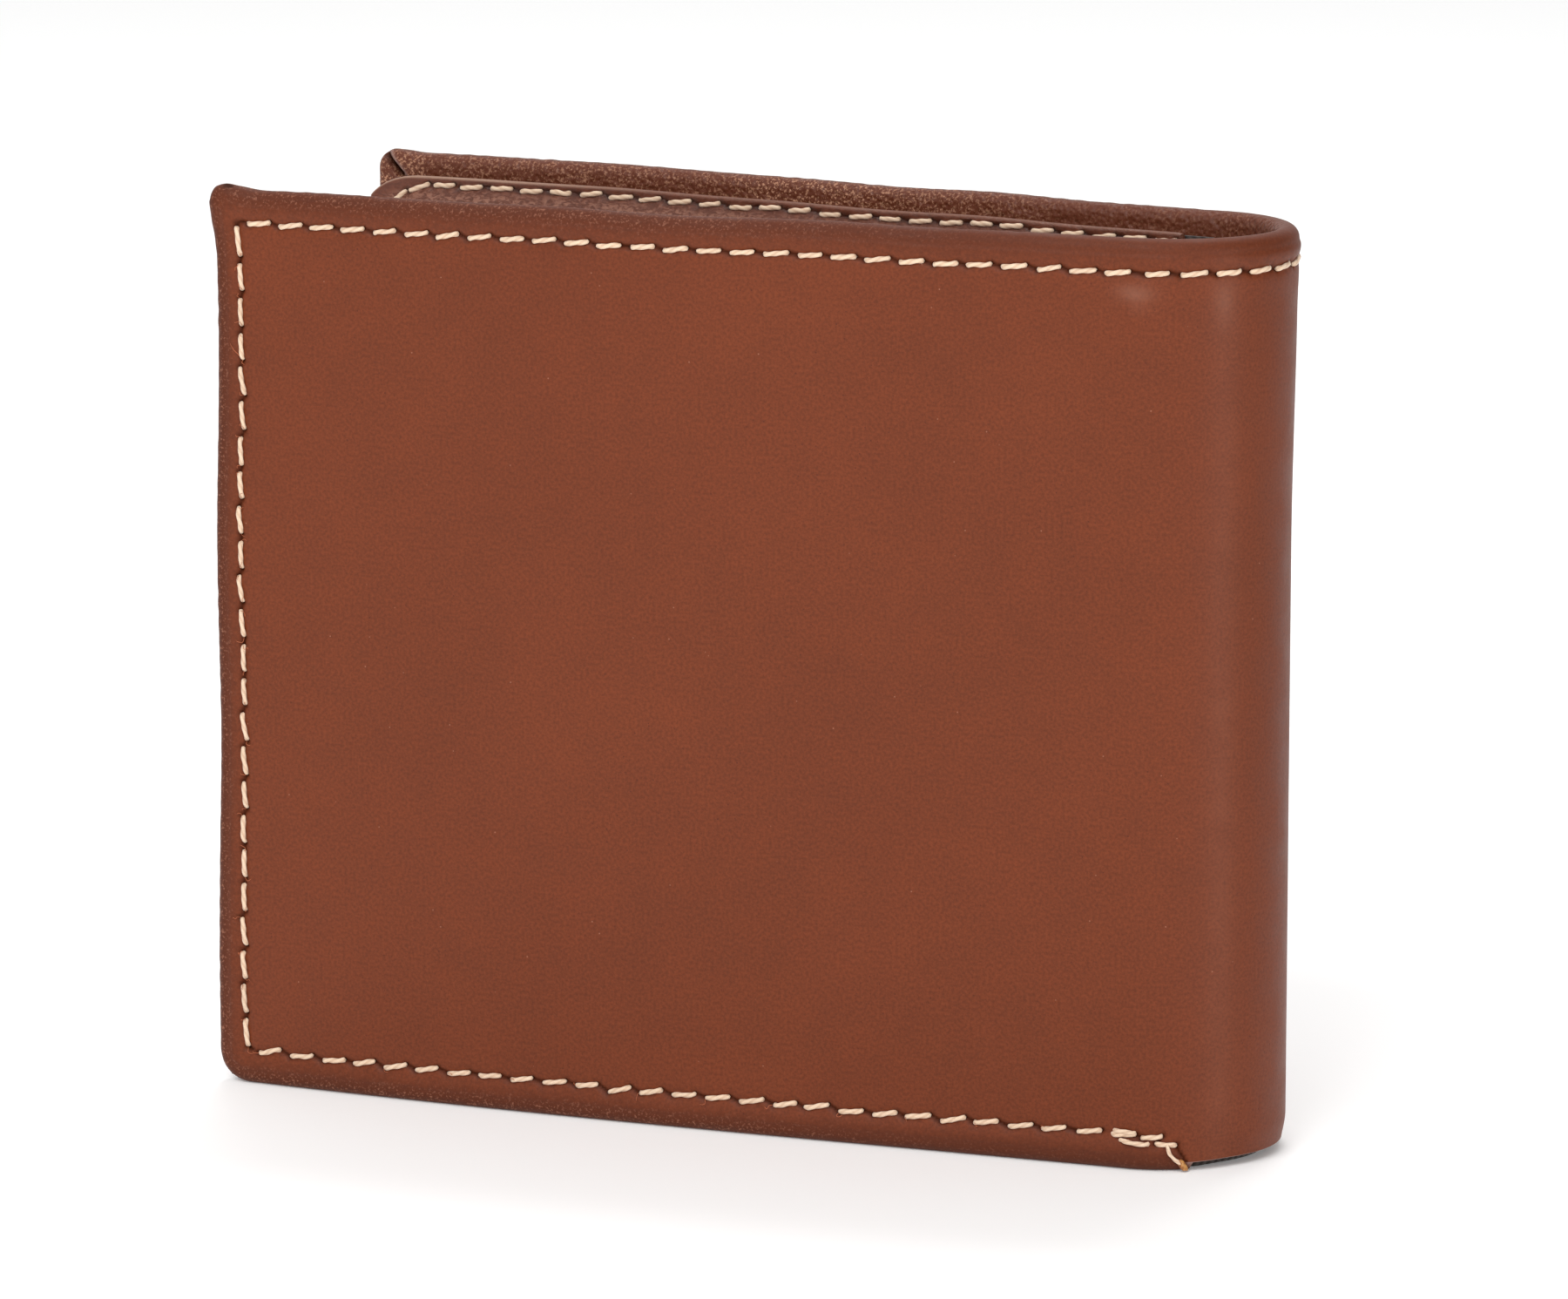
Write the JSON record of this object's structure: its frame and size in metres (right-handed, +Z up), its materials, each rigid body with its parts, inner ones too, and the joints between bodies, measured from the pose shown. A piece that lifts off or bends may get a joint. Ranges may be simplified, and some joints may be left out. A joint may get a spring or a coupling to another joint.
{
  "type": "bifold wallet",
  "caption": "Leather bifold wallet standing half closed: two covers folding on a soft round spine, with note compartments, card pockets and contrast stitching.",
  "frame": {"origin": "centre of the bounding box, on the ground under the standing wallet", "axes": "+X towards the spine along the covers, +Y through the wallet towards the back cover, +Z up the covers"},
  "size_m": [0.108, 0.036, 0.09],
  "materials": {
    "outer_leather": "smooth full-grain leather, satin",
    "inner_leather": "smooth leather, satin, finely creased",
    "lining": "woven lining, matte",
    "board": "matte fibre board",
    "thread": "waxed polyester thread"
  },
  "bodies": {
    "front_cover": {"front_cover_leather": "outer_leather", "front_cover_board": "board", "front_cover_lining": "lining", "front_divider_lining": "lining", "front_inner_panel": "inner_leather", "front_upper_card_pocket": "inner_leather", "front_middle_card_pocket": "inner_leather", "front_lower_card_pocket": "inner_leather", "front_outer_stitching": "thread", "front_inner_stitching": "thread"},
    "back_cover": {"back_cover_leather": "outer_leather", "back_cover_board": "board", "back_cover_lining": "lining", "back_divider_lining": "lining", "back_inner_panel": "inner_leather", "back_upper_card_pocket": "inner_leather", "back_middle_card_pocket": "inner_leather", "back_lower_card_pocket": "inner_leather", "back_outer_stitching": "thread", "back_inner_stitching": "thread"},
    "spine_front": {"spine_front_leather": "outer_leather", "spine_front_lining": "lining", "spine_front_divider": "lining", "spine_front_stitching": "thread"},
    "spine_middle": {"spine_middle_leather": "outer_leather", "spine_middle_lining": "lining", "spine_middle_divider": "lining", "spine_middle_stitching": "thread"},
    "spine_back": {"spine_back_leather": "outer_leather", "spine_back_lining": "lining", "spine_back_divider": "lining", "spine_back_stitching": "thread"}
  },
  "joints": [
    {"name": "cover_fold", "type": "hinge", "parent": "spine_front", "child": "front_cover", "pos_m": [0.04693, -0.01113, 0.045], "axis": [0, 0, 1], "range_deg": [-3, 43.25]},
    {"name": "front_spine_fold", "type": "hinge", "parent": "spine_middle", "child": "spine_front", "pos_m": [0.05314, -0.00453, 0.045], "axis": [0, 0, 1], "range_deg": [-3, 43.25]},
    {"name": "middle_spine_fold", "type": "hinge", "parent": "spine_back", "child": "spine_middle", "pos_m": [0.05314, 0.00453, 0.045], "axis": [0, 0, 1], "range_deg": [-3, 43.25]},
    {"name": "back_spine_fold", "type": "hinge", "parent": "back_cover", "child": "spine_back", "pos_m": [0.04693, 0.01113, 0.045], "axis": [0, 0, 1], "range_deg": [-3, 43.25]}
  ],
  "couplings": [
    {"joint": "front_spine_fold", "follows": "cover_fold", "ratio": 1},
    {"joint": "middle_spine_fold", "follows": "cover_fold", "ratio": 1},
    {"joint": "back_spine_fold", "follows": "cover_fold", "ratio": 1}
  ]
}
